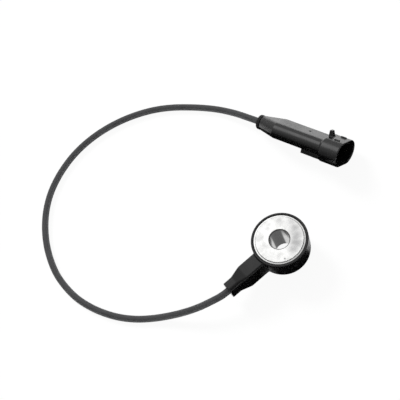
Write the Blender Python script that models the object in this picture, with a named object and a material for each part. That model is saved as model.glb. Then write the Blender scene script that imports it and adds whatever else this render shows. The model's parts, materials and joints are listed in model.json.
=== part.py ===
"""Engine knock sensor: a ring-shaped sensor head, its moulded cable and an oval two-way connector.

The head lies with its contact face up, on the end of its steel sleeve. The neck points along -X.
The cable runs in one wide loop on the surface to the connector, which lies on its side.
All sizes are in metres.
"""

import math

import bmesh
import bpy
from mathutils import Matrix, Vector

# Clearances
FIT_GAP = 0.00015
CABLE_GAP = 0.0002
CUT_MARGIN = 0.0010

# Sleeve: the flanged steel bush that the bolt clamps
BORE_RADIUS = 0.0042
BORE_CHAMFER = 0.0004
SLEEVE_HEIGHT = 0.0155
SLEEVE_WALL = 0.00195
FLANGE_RADIUS = 0.0110
FLANGE_THICKNESS = 0.0018
FACE_RADIUS = 0.0102
FACE_STEP = 0.0004
SLEEVE_EDGE = 0.0002
LOCK_GROOVE_DEPTH = 0.00045
LOCK_GROOVE_WIDTH = 0.0009
LOCK_GROOVE_START = 0.00075

# Sensing stack, from the flange towards the rear
STACK_RADIUS = 0.0100
TUBE_WALL = 0.0005
WASHER_THICKNESS = 0.0004
PLATE_THICKNESS = 0.0004
PIEZO_THICKNESS = 0.0022
MASS_THICKNESS = 0.0032
MASS_EDGE = 0.0003
SPRING_THICKNESS = 0.0005
SPRING_CONE = 0.00045
SPRING_RADIUS = 0.0093
NUT_THICKNESS = 0.0023
NUT_RADIUS = 0.0086
NUT_SLOTS = 6
NUT_SLOT_WIDTH = 0.0016
NUT_SLOT_DEPTH = 0.0011

# Housing: the moulded cup and its cable neck
RIM_WIDTH = 0.00095
RIM_DROP = 0.0003
RIM_EDGE = 0.0002
SIDE_DRAFT = 0.00055
REAR_CHAMFER_RADIAL = 0.0020
REAR_CHAMFER_HEIGHT = 0.0035
REAR_RECESS = 0.0004
CAVITY_CLEARANCE = 0.0003
NECK_WIDTH = 0.0068
NECK_BOTTOM = 0.0040
NECK_TOP = 0.0145
NECK_CORNER = 0.0008
NECK_BLOCK_LENGTH = 0.0081
NECK_TAPER_LENGTH = 0.0050
NECK_COLLAR_LENGTH = 0.0042
NECK_COLLAR_WIDTH = 0.0052
NECK_COLLAR_HEIGHT = 0.0082
NECK_COLLAR_CORNER = 0.0016
CABLE_HEIGHT = 0.0095

# Contact tabs inside the neck
TAB_WIDTH = 0.0015
TAB_REACH = 0.0078
TAB_STRAIGHT = 0.0006
TAB_SLOPE = 0.0028
TAB_SPACING = 0.0026
CRADLE_LENGTH = 0.0020
CRADLE_WALL = 0.00025
CRADLE_HEIGHT = 0.0009

# Cable and its two cores
CABLE_RADIUS = 0.0015
CABLE_DEPTH_IN_NECK = 0.0030
CABLE_DEPTH_IN_SEAL = 0.0048
CORE_RADIUS = 0.0006
CORE_SPACING = 0.0014
CORE_FAN = [(0.0, 0.0), (0.25, 0.1), (0.75, 0.9), (1.0, 1.0)]

# Connector shell, measured back from its mouth
SHROUD_WIDTH = 0.0176
SHROUD_HEIGHT = 0.0110
SHROUD_LENGTH = 0.0086
SHROUD_WALL = 0.0012
SHROUD_DEPTH = 0.0082
SHROUD_EDGE = 0.0003
SHOULDER_LENGTH = 0.0008
BODY_WIDTH = 0.0150
BODY_HEIGHT = 0.0074
BODY_RISE = 0.0005
BODY_LENGTH = 0.0235
BODY_WALL = 0.0011
NOSE_DEPTH = 0.0048
FLOOR_THICKNESS = 0.0014
TAPER_LENGTH = 0.0092
TAPER_END_RADIUS = 0.0033
TAPER_END_RISE = 0.0002
LATCH_HEIGHT = 0.0026
LATCH_WIDTH = 0.0022
LATCH_BASE = 0.0024
LATCH_TOP = 0.0012
LATCH_TOP_SLOPE = 0.0002
GUIDE_RIB_LENGTH = 0.0026
GUIDE_RIB_WIDTH = 0.0008
GUIDE_RIB_HEIGHT = 0.0005
GUIDE_RIB_SPACING = 0.0062
GUIDE_RIB_SETBACK = 0.0024
RAIL_WIDTH = 0.0060
RAIL_LENGTH = 0.0099
RAIL_THICKNESS = 0.0020
RAIL_SLOT = 0.0005
RAIL_WEB = 0.0032
JOIN_DEPTH = 0.0004
RAIL_END_GAP = 0.0002
GATE_MARK_RADIUS = 0.0005
GATE_MARK_DEPTH = 0.00025
GATE_MARK_SETBACK = 0.0184

# Cable seal at the connector's rear
SEAL_COLLAR_RADIUS = 0.0031
SEAL_COLLAR_LENGTH = 0.0017
SEAL_COLLAR_EDGE = 0.0004
SEAL_WALL = 0.00075
SEAL_BODY_LENGTH = 0.0060
SEAL_GROOVE_DEPTH = 0.00025
SEAL_RIBS = 3

# Terminals and the block that holds them
TERMINAL_PITCH = 0.0052
BLADE_WIDTH = 0.0015
BLADE_THICKNESS = 0.0008
BLADE_TIP_SETBACK = 0.0045
BLADE_TIP_LENGTH = 0.0008
BLADE_TIP_SHARE = 0.5
SHOULDER_SIZE = 0.0022
SHOULDER_BODY_LENGTH = 0.0050
CRIMP_LENGTH = 0.0040
CRIMP_WALL = 0.0003
CARRIER_OVERHANG = 0.0022

# Where the connector lies: its mouth on the surface's plan, and its turn, tip and roll
MOUTH_PLACE = (0.0557, 0.0129)
CONNECTOR_TURN = math.radians(-69.7)
CONNECTOR_TIP = math.radians(4.5)
CONNECTOR_ROLL = math.radians(-47.9)

# The cable's route on the surface between its two straight ends, as chosen points
CABLE_ROUTE = [
    (-0.0243, 0.0003, 0.0094), (-0.0281, 0.0014, 0.0089), (-0.0343, 0.0039, 0.0074),
    (-0.0405, 0.0075, 0.0054), (-0.0465, 0.0118, 0.0034), (-0.0523, 0.0164, 0.0020),
    (-0.0577, 0.0212, 0.0016), (-0.0625, 0.0267, 0.0016), (-0.0665, 0.0330, 0.0016),
    (-0.0697, 0.0400, 0.0016), (-0.0719, 0.0476, 0.0016), (-0.0727, 0.0555, 0.0016),
    (-0.0723, 0.0635, 0.0016), (-0.0704, 0.0714, 0.0016), (-0.0674, 0.0790, 0.0016),
    (-0.0634, 0.0860, 0.0016), (-0.0584, 0.0924, 0.0016), (-0.0526, 0.0977, 0.0016),
    (-0.0461, 0.1018, 0.0016), (-0.0391, 0.1048, 0.0016), (-0.0317, 0.1068, 0.0016),
    (-0.0242, 0.1076, 0.0016), (-0.0166, 0.1073, 0.0016), (-0.0092, 0.1060, 0.0016),
    (-0.0020, 0.1038, 0.0016), (0.0050, 0.1007, 0.0016), (0.0115, 0.0968, 0.0016),
    (0.0176, 0.0919, 0.0016), (0.0231, 0.0863, 0.0016), (0.0281, 0.0804, 0.0017),
    (0.0325, 0.0741, 0.0020), (0.0361, 0.0665, 0.0034), (0.0386, 0.0596, 0.0047),
]

# Facets round a full turn and along a smooth curve, and how meshes are shaded and merged
ROUND_STEPS = 48
STACK_STEPS = 36
SMALL_STEPS = 20
OVAL_STEPS = 36
CORNER_STEPS = 3
CURVE_STEPS = 12
SMOOTH_ANGLE = math.radians(35)
MERGE_DISTANCE = 0.000001

# Sizes that follow from the ones above
SLEEVE_RADIUS = BORE_RADIUS + SLEEVE_WALL
FLANGE_UNDERSIDE = SLEEVE_HEIGHT - FACE_STEP - FLANGE_THICKNESS
TUBE_INNER = SLEEVE_RADIUS + FIT_GAP
TUBE_OUTER = TUBE_INNER + TUBE_WALL
STACK_BORE = TUBE_OUTER + FIT_GAP
SPRING_HEIGHT = SPRING_THICKNESS + SPRING_CONE
RIM_RADIUS = FLANGE_RADIUS + FIT_GAP + RIM_WIDTH
NECK_END = RIM_RADIUS + NECK_BLOCK_LENGTH + NECK_TAPER_LENGTH + NECK_COLLAR_LENGTH
BORE_X = (NECK_END - RIM_RADIUS) / 2
CABLE_BORE = CABLE_RADIUS + CABLE_GAP
TAB_TOP = CABLE_HEIGHT - CORE_RADIUS - FIT_GAP
SHELL_REAR = SHROUD_LENGTH + SHOULDER_LENGTH + BODY_LENGTH + TAPER_LENGTH
CONNECTOR_LENGTH = SHELL_REAR + FIT_GAP + SEAL_COLLAR_LENGTH
CAVITY_FLOOR = SHROUD_DEPTH + NOSE_DEPTH
CHAMBER_FRONT = CAVITY_FLOOR + FLOOR_THICKNESS
SEAL_BORE = CABLE_BORE + SEAL_WALL + FIT_GAP


def clear_scene():
    for item in list(bpy.data.objects):
        bpy.data.objects.remove(item, do_unlink=True)


def material(name, color, roughness, metallic=0.0):
    """A Principled BSDF material of one colour."""
    made = bpy.data.materials.new(name)
    made.use_nodes = True
    shader = made.node_tree.nodes["Principled BSDF"]
    shader.inputs["Base Color"].default_value = (*color, 1.0)
    shader.inputs["Roughness"].default_value = roughness
    shader.inputs["Metallic"].default_value = metallic
    made.diffuse_color = (*color, 1.0)
    return made


def add_object(name, data, finish=None, parent=None):
    """Puts a mesh or a curve in the scene, shaded smooth where its faces turn gently."""
    item = bpy.data.objects.new(name, data)
    bpy.context.scene.collection.objects.link(item)
    item.parent = parent
    if finish:
        data.materials.append(finish)
    if isinstance(data, bpy.types.Mesh):
        data.shade_smooth()
        data.set_sharp_from_angle(angle=SMOOTH_ANGLE)
    return item


def finish_mesh(name, bm):
    """Turns a closed bmesh into a mesh whose faces point out."""
    bmesh.ops.remove_doubles(bm, verts=bm.verts, dist=MERGE_DISTANCE)
    bmesh.ops.recalc_face_normals(bm, faces=bm.faces)
    mesh = bpy.data.meshes.new(name)
    bm.to_mesh(mesh)
    bm.free()
    return mesh


def turned(name, profile, steps, axis="Z"):
    """Spins a closed profile of (radius, distance along the axis) points into a ring."""
    bm = bmesh.new()
    corners = [bm.verts.new((radius, 0, along)) for radius, along in profile]
    edges = [bm.edges.new((a, b)) for a, b in zip(corners, corners[1:] + corners[:1])]
    bmesh.ops.spin(bm, geom=corners + edges, cent=(0, 0, 0), axis=(0, 0, 1),
                   angle=math.tau, steps=steps, use_merge=True)
    if axis == "X":
        bmesh.ops.transform(bm, matrix=Matrix.Rotation(math.pi / 2, 4, "Y"), verts=bm.verts)
    return finish_mesh(name, bm)


def ring(name, inner, outer, low, high, steps=STACK_STEPS, edge=0.0):
    """A flat ring about Z, with its outer edges chamfered by edge."""
    profile = [(inner, low), (inner, high), (outer - edge, high)]
    if edge:
        profile += [(outer, high - edge), (outer, low + edge)]
    profile += [(outer - edge, low)] if edge else [(outer, low)]
    return turned(name, profile, steps)


def loft(name, sections):
    """Joins like sections, each a list of points round a closed outline, and caps both ends."""
    bm = bmesh.new()
    loops = []
    for section in sections:
        corners = [bm.verts.new(point) for point in section]
        edges = [bm.edges.new((a, b)) for a, b in zip(corners, corners[1:] + corners[:1])]
        loops.append((corners, edges))
    for (before, _), (after, _) in zip(loops, loops[1:]):
        count = len(before)
        for k in range(count):
            n = (k + 1) % count
            bm.faces.new((before[k], before[n], after[n], after[k]))
    bm.faces.new(loops[0][0])
    bm.faces.new(loops[-1][0])
    bmesh.ops.recalc_face_normals(bm, faces=bm.faces)
    mesh = bpy.data.meshes.new(name)
    bm.to_mesh(mesh)
    bm.free()
    return mesh


def box(name, low, high, edge=0.0):
    """A box between two corners, with all its edges chamfered by edge."""
    bm = bmesh.new()
    bmesh.ops.create_cube(bm, size=1.0)
    centre = (Vector(low) + Vector(high)) / 2
    size = Vector(high) - Vector(low)
    bmesh.ops.scale(bm, vec=size, verts=bm.verts)
    bmesh.ops.translate(bm, vec=centre, verts=bm.verts)
    if edge:
        bmesh.ops.bevel(bm, geom=bm.edges[:], offset=edge, segments=1, affect="EDGES", profile=0.5)
    return finish_mesh(name, bm)


def rod(name, radius, start, end, steps=SMALL_STEPS):
    """A solid cylinder along X from start to end."""
    bm = bmesh.new()
    bmesh.ops.create_cone(bm, cap_ends=True, segments=steps, radius1=radius, radius2=radius,
                          depth=end[0] - start[0])
    bmesh.ops.rotate(bm, cent=(0, 0, 0), matrix=Matrix.Rotation(math.pi / 2, 3, "Y"), verts=bm.verts)
    bmesh.ops.translate(bm, vec=(Vector(start) + Vector(end)) / 2, verts=bm.verts)
    return finish_mesh(name, bm)


def combine(target, mesh, operation):
    """Adds or cuts a shape with a Boolean whose tool object stays out of the model."""
    tool = add_object(f"{target.name}_{mesh.name}_tool", mesh, parent=target.parent)
    tool.hide_render = True
    tool.display_type = "WIRE"
    step = target.modifiers.new(mesh.name, "BOOLEAN")
    step.operation = operation
    step.object = tool
    step.solver = "EXACT"


def rounded_section(x, width, low, high, corner):
    """A rectangle with round corners, on the plane at x."""
    points = []
    half = width / 2
    centres = [(half - corner, high - corner, 0), (corner - half, high - corner, 90),
               (corner - half, low + corner, 180), (half - corner, low + corner, 270)]
    for y, z, turn in centres:
        for k in range(CORNER_STEPS + 1):
            angle = math.radians(turn + 90 * k / CORNER_STEPS)
            points.append((x, y + corner * math.cos(angle), z + corner * math.sin(angle)))
    return points


def oval_section(x, width, height, rise):
    """A flat-sided oval with round ends, on the plane at x."""
    straight = (width - height) / 2
    half_steps = OVAL_STEPS // 2
    points = []
    for side in (1, -1):
        for k in range(half_steps):
            angle = math.pi * ((k + 0.5) / half_steps - 0.5)
            y = side * (straight + height / 2 * math.cos(angle))
            z = side * height / 2 * math.sin(angle)
            points.append((x, y, rise + z))
    return points


def smooth_route(points):
    """A Catmull-Rom curve through the points."""
    points = [Vector(point) for point in points]
    points = [2 * points[0] - points[1]] + points + [2 * points[-1] - points[-2]]
    curve = []
    for before, start, end, after in zip(points, points[1:], points[2:], points[3:]):
        for k in range(CURVE_STEPS):
            t = k / CURVE_STEPS
            curve.append(0.5 * (2 * start + (end - before) * t
                                + (2 * before - 5 * start + 4 * end - after) * t ** 2
                                + (3 * start - before - 3 * end + after) * t ** 3))
    return curve + [points[-2]]


def evenly_spaced(curve, spacing):
    """Points about one spacing apart along a curve, both ends included."""
    total = sum((b - a).length for a, b in zip(curve, curve[1:]))
    count = max(2, round(total / spacing))
    gap = total / count
    kept = [curve[0]]
    travelled = 0.0
    for a, b in zip(curve, curve[1:]):
        run = (b - a).length
        while len(kept) < count and travelled + run >= gap * len(kept):
            kept.append(a.lerp(b, (gap * len(kept) - travelled) / run))
        travelled += run
    return kept + [curve[-1]]


def tube(name, points, radius, spacing, finish, parent=None):
    """A round cord along a smooth curve through the points."""
    path = evenly_spaced(smooth_route(points), spacing)
    curve = bpy.data.curves.new(name, "CURVE")
    curve.dimensions = "3D"
    curve.bevel_depth = radius
    curve.bevel_resolution = 2
    curve.use_fill_caps = True
    spline = curve.splines.new("POLY")
    spline.points.add(len(path) - 1)
    for point, place in zip(spline.points, path):
        point.co = (*place, 1.0)
    return add_object(name, curve, finish, parent)


def stack_levels():
    """The low and high face of each piece on the sleeve, from the flange towards the rear."""
    order = [
        ("front_insulating_washer", WASHER_THICKNESS), ("front_contact_plate", PLATE_THICKNESS),
        ("piezo_ring", PIEZO_THICKNESS), ("rear_contact_plate", PLATE_THICKNESS),
        ("rear_insulating_washer", WASHER_THICKNESS), ("seismic_mass", MASS_THICKNESS),
        ("disc_spring", SPRING_HEIGHT), ("ring_nut", NUT_THICKNESS),
    ]
    levels = {}
    high = FLANGE_UNDERSIDE - FIT_GAP
    for name, thickness in order:
        levels[name] = (high - thickness, high)
        high -= thickness + FIT_GAP
    return levels


def make_sleeve(finish, head):
    top = SLEEVE_HEIGHT
    groove_end = LOCK_GROOVE_START + LOCK_GROOVE_WIDTH
    groove_radius = SLEEVE_RADIUS - LOCK_GROOVE_DEPTH
    flange_top = top - FACE_STEP
    profile = [
        (BORE_RADIUS, BORE_CHAMFER), (BORE_RADIUS, top - BORE_CHAMFER),
        (BORE_RADIUS + BORE_CHAMFER, top), (FACE_RADIUS - SLEEVE_EDGE / 2, top),
        (FACE_RADIUS, top - SLEEVE_EDGE), (FACE_RADIUS + SLEEVE_EDGE / 2, flange_top),
        (FLANGE_RADIUS - SLEEVE_EDGE, flange_top - SLEEVE_EDGE / 2),
        (FLANGE_RADIUS, flange_top - SLEEVE_EDGE), (FLANGE_RADIUS, FLANGE_UNDERSIDE),
        (SLEEVE_RADIUS, FLANGE_UNDERSIDE), (SLEEVE_RADIUS, groove_end), (groove_radius, groove_end),
        (groove_radius, LOCK_GROOVE_START), (SLEEVE_RADIUS, LOCK_GROOVE_START),
        (SLEEVE_RADIUS, SLEEVE_EDGE), (SLEEVE_RADIUS - SLEEVE_EDGE, 0), (BORE_RADIUS + BORE_CHAMFER, 0),
    ]
    add_object("sleeve", turned("sleeve", profile, ROUND_STEPS), finish, head)


def make_housing(levels, finish, head):
    """The cup that is moulded round the stack, with the neck that takes the cable."""
    rim_top = SLEEVE_HEIGHT - RIM_DROP
    side_foot = REAR_RECESS + REAR_CHAMFER_HEIGHT
    foot_radius = RIM_RADIUS - SIDE_DRAFT
    bore = SLEEVE_RADIUS + FIT_GAP
    lip_low = LOCK_GROOVE_START + FIT_GAP
    lip_high = LOCK_GROOVE_START + LOCK_GROOVE_WIDTH - FIT_GAP
    lip = bore - LOCK_GROOVE_DEPTH
    profile = [
        (bore, rim_top), (RIM_RADIUS - RIM_EDGE, rim_top), (RIM_RADIUS, rim_top - RIM_EDGE),
        (foot_radius, side_foot), (foot_radius - REAR_CHAMFER_RADIAL, REAR_RECESS),
        (bore, REAR_RECESS), (bore, lip_low), (lip, lip_low), (lip, lip_high), (bore, lip_high),
    ]
    housing = add_object("housing", turned("housing", profile, ROUND_STEPS), finish, head)
    combine(housing, make_neck(), "UNION")
    combine(housing, make_cavity(levels, rim_top), "DIFFERENCE")
    channel_low = min(levels["rear_contact_plate"][0], TAB_TOP - PLATE_THICKNESS) - CAVITY_CLEARANCE
    channel_high = max(levels["front_contact_plate"][1], TAB_TOP + CRADLE_HEIGHT) + CAVITY_CLEARANCE
    channel_half = TAB_SPACING / 2 + CORE_RADIUS + FIT_GAP + CRADLE_WALL + FIT_GAP
    channel_end = RIM_RADIUS + NECK_BLOCK_LENGTH + NECK_TAPER_LENGTH / 2
    channel = box("channel", (-channel_end, -channel_half, channel_low),
                  (-STACK_RADIUS, channel_half, channel_high))
    combine(housing, channel, "DIFFERENCE")
    entry = rod("cable_entry", CABLE_BORE, (-NECK_END - CUT_MARGIN, 0, CABLE_HEIGHT),
                (-channel_end + CUT_MARGIN, 0, CABLE_HEIGHT))
    combine(housing, entry, "DIFFERENCE")


def make_neck():
    """Block, taper and end collar of the cable neck, starting inside the cup's wall."""
    block_end = RIM_RADIUS + NECK_BLOCK_LENGTH
    collar_start = block_end + NECK_TAPER_LENGTH
    collar_low = CABLE_HEIGHT - NECK_COLLAR_HEIGHT / 2
    collar_high = CABLE_HEIGHT + NECK_COLLAR_HEIGHT / 2
    block = (NECK_WIDTH, NECK_BOTTOM, NECK_TOP, NECK_CORNER)
    collar = (NECK_COLLAR_WIDTH, collar_low, collar_high, NECK_COLLAR_CORNER)
    return loft("neck", [
        rounded_section(-STACK_RADIUS, *block), rounded_section(-block_end, *block),
        rounded_section(-collar_start, *collar), rounded_section(-NECK_END, *collar),
    ])


def make_cavity(levels, rim_top):
    """What the flange and the stack take out of the cup."""
    inner = SLEEVE_RADIUS - LOCK_GROOVE_DEPTH
    floor = levels["ring_nut"][0] - FIT_GAP
    nut_top = levels["ring_nut"][1]
    spring_top = levels["disc_spring"][1]
    flange_seat = FLANGE_UNDERSIDE - FIT_GAP
    stack = STACK_RADIUS + CAVITY_CLEARANCE
    spring = SPRING_RADIUS + CAVITY_CLEARANCE
    nut = NUT_RADIUS + CAVITY_CLEARANCE
    flange = FLANGE_RADIUS + FIT_GAP
    return turned("cavity", [
        (inner, rim_top + CUT_MARGIN), (flange, rim_top + CUT_MARGIN), (flange, flange_seat),
        (stack, flange_seat), (stack, spring_top), (spring, spring_top), (spring, nut_top),
        (nut, nut_top), (nut, floor), (inner, floor),
    ], ROUND_STEPS)


def make_contact_plate(name, level, side, finish, head):
    """A contact ring whose tab runs down the neck and ends in a cradle for its core."""
    low, high = level
    plate = add_object(name, ring(name, STACK_BORE, STACK_RADIUS - FIT_GAP, low, high), finish, head)
    y = side * TAB_SPACING / 2
    bend_start = STACK_RADIUS + CAVITY_CLEARANCE + TAB_STRAIGHT
    bend_end = bend_start + TAB_SLOPE
    tab_end = RIM_RADIUS + TAB_REACH

    def section(along, top):
        left, right = y - TAB_WIDTH / 2, y + TAB_WIDTH / 2
        bottom = top - PLATE_THICKNESS
        return [(-along, left, bottom), (-along, right, bottom), (-along, right, top), (-along, left, top)]

    strip = loft("tab", [section(STACK_RADIUS - TAB_WIDTH, high), section(bend_start, high),
                         section(bend_end, TAB_TOP), section(tab_end, TAB_TOP)])
    combine(plate, strip, "UNION")
    ear_offset = CORE_RADIUS + FIT_GAP
    for turn in (-1, 1):
        near, far = sorted((y + turn * ear_offset, y + turn * (ear_offset + CRADLE_WALL)))
        ear = box(f"ear_{turn}", (-tab_end, near, TAB_TOP - PLATE_THICKNESS / 2),
                  (CRADLE_LENGTH - tab_end, far, TAB_TOP + CRADLE_HEIGHT))
        combine(plate, ear, "UNION")


def make_stack(levels, finishes, head):
    """The rings that sit on the sleeve between its flange and the nut."""
    for name in ("front_insulating_washer", "rear_insulating_washer"):
        washer = ring(name, STACK_BORE, STACK_RADIUS, *levels[name])
        add_object(name, washer, finishes["insulator"], head)
    make_contact_plate("front_contact_plate", levels["front_contact_plate"], 1, finishes["contact"], head)
    make_contact_plate("rear_contact_plate", levels["rear_contact_plate"], -1, finishes["contact"], head)
    piezo = ring("piezo_ring", STACK_BORE, STACK_RADIUS - FIT_GAP, *levels["piezo_ring"])
    add_object("piezo_ring", piezo, finishes["ceramic"], head)
    insulating_tube = ring("insulating_tube", TUBE_INNER, TUBE_OUTER,
                           levels["rear_insulating_washer"][0], levels["front_insulating_washer"][1])
    add_object("insulating_tube", insulating_tube, finishes["insulator"], head)
    mass = ring("seismic_mass", TUBE_INNER, STACK_RADIUS, *levels["seismic_mass"], edge=MASS_EDGE)
    add_object("seismic_mass", mass, finishes["steel"], head)
    spring_low, spring_high = levels["disc_spring"]
    cone = [
        (TUBE_INNER, spring_low), (TUBE_INNER, spring_low + SPRING_THICKNESS),
        (SPRING_RADIUS, spring_high), (SPRING_RADIUS, spring_high - SPRING_THICKNESS),
    ]
    add_object("disc_spring", turned("disc_spring", cone, STACK_STEPS), finishes["spring"], head)
    make_ring_nut(levels["ring_nut"], finishes["steel"], head)


def make_ring_nut(level, finish, head):
    """The round nut that loads the stack, with spanner slots round its edge."""
    low, high = level
    nut = add_object("ring_nut", ring("ring_nut", TUBE_INNER, NUT_RADIUS, low, high), finish, head)
    slot_floor = NUT_RADIUS - NUT_SLOT_DEPTH
    slots = bmesh.new()
    for k in range(NUT_SLOTS):
        corners = bmesh.ops.create_cube(slots, size=1.0)["verts"]
        size = (NUT_RADIUS + CUT_MARGIN - slot_floor, NUT_SLOT_WIDTH, high - low + 2 * CUT_MARGIN)
        bmesh.ops.scale(slots, vec=size, verts=corners)
        bmesh.ops.translate(slots, vec=(slot_floor + size[0] / 2, 0, (low + high) / 2), verts=corners)
        turn = Matrix.Rotation(math.tau * (k + 0.5) / NUT_SLOTS, 3, "Z")
        bmesh.ops.rotate(slots, cent=(0, 0, 0), matrix=turn, verts=corners)
    combine(nut, finish_mesh("slots", slots), "DIFFERENCE")


def core_route(start, fan_start, fan_end, end):
    """A core's points: straight, then across to its own place by CORE_FAN's shares, then straight."""
    near, far = Vector(fan_start), Vector(fan_end)
    fan = []
    for along, across in CORE_FAN:
        place = near.lerp(far, across)
        place.x = near.lerp(far, along).x
        fan.append(place)
    return [Vector(start)] + fan + [Vector(end)]


def make_head_cores(finishes, head):
    """The two cores between the cable's end and the contact tabs."""
    cable_end = NECK_END - CABLE_DEPTH_IN_NECK - 2 * FIT_GAP
    bore_end = RIM_RADIUS + NECK_BLOCK_LENGTH + NECK_TAPER_LENGTH / 2
    cradle_start = RIM_RADIUS + TAB_REACH
    core_end = cradle_start - CRADLE_LENGTH + FIT_GAP
    cores = (("signal_core_head", 1, "white_core"), ("ground_core_head", -1, "black_core"))
    for name, side, finish in cores:
        bunched = side * CORE_SPACING / 2
        spread = side * TAB_SPACING / 2
        points = core_route((-cable_end, bunched, CABLE_HEIGHT), (-bore_end, bunched, CABLE_HEIGHT),
                            (-cradle_start, spread, CABLE_HEIGHT), (-core_end, spread, CABLE_HEIGHT))
        tube(name, points, CORE_RADIUS, CORE_RADIUS * 2, finishes[finish], head)


def shell_outline():
    """The shell's sections from its rear end over the outside, into the mouth and down to the floor."""
    inner_width = SHROUD_WIDTH - 2 * SHROUD_WALL
    inner_height = SHROUD_HEIGHT - 2 * SHROUD_WALL
    nose_width = BODY_WIDTH - 2 * BODY_WALL
    nose_height = BODY_HEIGHT - 2 * BODY_WALL
    body_start = SHROUD_LENGTH + SHOULDER_LENGTH
    body_end = body_start + BODY_LENGTH
    edge = SHROUD_EDGE
    return [
        oval_section(-SHELL_REAR, 2 * TAPER_END_RADIUS, 2 * TAPER_END_RADIUS, TAPER_END_RISE),
        oval_section(-body_end, BODY_WIDTH, BODY_HEIGHT, BODY_RISE),
        oval_section(-body_start, BODY_WIDTH, BODY_HEIGHT, BODY_RISE),
        oval_section(-SHROUD_LENGTH, SHROUD_WIDTH, SHROUD_HEIGHT, 0),
        oval_section(-edge, SHROUD_WIDTH, SHROUD_HEIGHT, 0),
        oval_section(0, SHROUD_WIDTH - edge, SHROUD_HEIGHT - edge, 0),
        oval_section(0, inner_width + edge, inner_height + edge, 0),
        oval_section(-edge, inner_width, inner_height, 0),
        oval_section(-SHROUD_DEPTH, inner_width, inner_height, 0),
        oval_section(-SHROUD_DEPTH, nose_width, nose_height, BODY_RISE),
        oval_section(-CAVITY_FLOOR, nose_width, nose_height, BODY_RISE),
    ]


def make_shell(finish, frame):
    """The connector's moulded shell, with its latch, guide ribs and mounting rail."""
    shell = add_object("connector_shell", loft("connector_shell", shell_outline()), finish, frame)
    combine(shell, make_latch(), "UNION")
    top = SHROUD_HEIGHT / 2
    rib_root = top - JOIN_DEPTH
    for side in (-1, 1):
        centre = side * GUIDE_RIB_SPACING / 2
        rib = box(f"guide_rib_{side}",
                  (-GUIDE_RIB_SETBACK - GUIDE_RIB_LENGTH, centre - GUIDE_RIB_WIDTH / 2, rib_root),
                  (-GUIDE_RIB_SETBACK, centre + GUIDE_RIB_WIDTH / 2, top + GUIDE_RIB_HEIGHT))
        combine(shell, rib, "UNION")
    body_bottom = BODY_RISE - BODY_HEIGHT / 2
    rail_top = body_bottom - RAIL_SLOT
    rail_front = -(SHROUD_LENGTH + SHOULDER_LENGTH + RAIL_END_GAP)
    rail_rear = rail_front - RAIL_LENGTH
    web = box("rail_web", (rail_rear, -RAIL_WEB / 2, rail_top - RAIL_SLOT),
              (rail_front, RAIL_WEB / 2, body_bottom + JOIN_DEPTH))
    combine(shell, web, "UNION")
    rail = box("rail", (rail_rear, -RAIL_WIDTH / 2, rail_top - RAIL_THICKNESS),
               (rail_front, RAIL_WIDTH / 2, rail_top), edge=SHROUD_EDGE / 2)
    combine(shell, rail, "UNION")
    combine(shell, make_chamber(), "DIFFERENCE")
    for side in (-1, 1):
        y = side * TERMINAL_PITCH / 2
        slot_half = BLADE_WIDTH / 2 + FIT_GAP
        slot_rise = BLADE_THICKNESS / 2 + FIT_GAP
        slot = box(f"blade_slot_{side}",
                   (-CHAMBER_FRONT - CUT_MARGIN, y - slot_half, BODY_RISE - slot_rise),
                   (CUT_MARGIN - CAVITY_FLOOR, y + slot_half, BODY_RISE + slot_rise))
        combine(shell, slot, "DIFFERENCE")
    combine(shell, make_gate_mark(), "DIFFERENCE")
    return shell


def make_latch():
    """The latch ramp: an upright rear face and a sloping front."""
    rear = SHROUD_LENGTH + SHOULDER_LENGTH / 2
    top = SHROUD_HEIGHT / 2
    root = top - SHROUD_WALL + FIT_GAP
    outline = [(-rear, root), (-rear, top + LATCH_HEIGHT - LATCH_TOP_SLOPE),
               (LATCH_TOP - rear, top + LATCH_HEIGHT), (LATCH_BASE - rear, top),
               (LATCH_BASE - rear, root)]
    return loft("latch", [[(x, side * LATCH_WIDTH / 2, z) for x, z in outline] for side in (-1, 1)])


def make_chamber():
    """The space behind the floor that holds the terminals, down to the seal's bore."""
    width = BODY_WIDTH - 2 * BODY_WALL
    height = BODY_HEIGHT - 2 * BODY_WALL
    body_end = SHROUD_LENGTH + SHOULDER_LENGTH + BODY_LENGTH
    seal_start = SHELL_REAR - SEAL_BODY_LENGTH + CUT_MARGIN / 2
    bore = 2 * SEAL_BORE
    return loft("chamber", [
        oval_section(-CHAMBER_FRONT, width, height, BODY_RISE),
        oval_section(-body_end + CUT_MARGIN, width, height, BODY_RISE),
        oval_section(-seal_start, bore, bore, TAPER_END_RISE),
        oval_section(-SHELL_REAR - CUT_MARGIN, bore, bore, TAPER_END_RISE),
    ])


def make_gate_mark():
    """The small round dimple that the mould leaves on the top."""
    top = BODY_RISE + BODY_HEIGHT / 2
    bm = bmesh.new()
    bmesh.ops.create_cone(bm, cap_ends=True, segments=SMALL_STEPS, radius1=GATE_MARK_RADIUS,
                          radius2=GATE_MARK_RADIUS, depth=2 * GATE_MARK_DEPTH)
    bmesh.ops.translate(bm, vec=(-GATE_MARK_SETBACK, 0, top), verts=bm.verts)
    return finish_mesh("gate_mark", bm)


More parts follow.
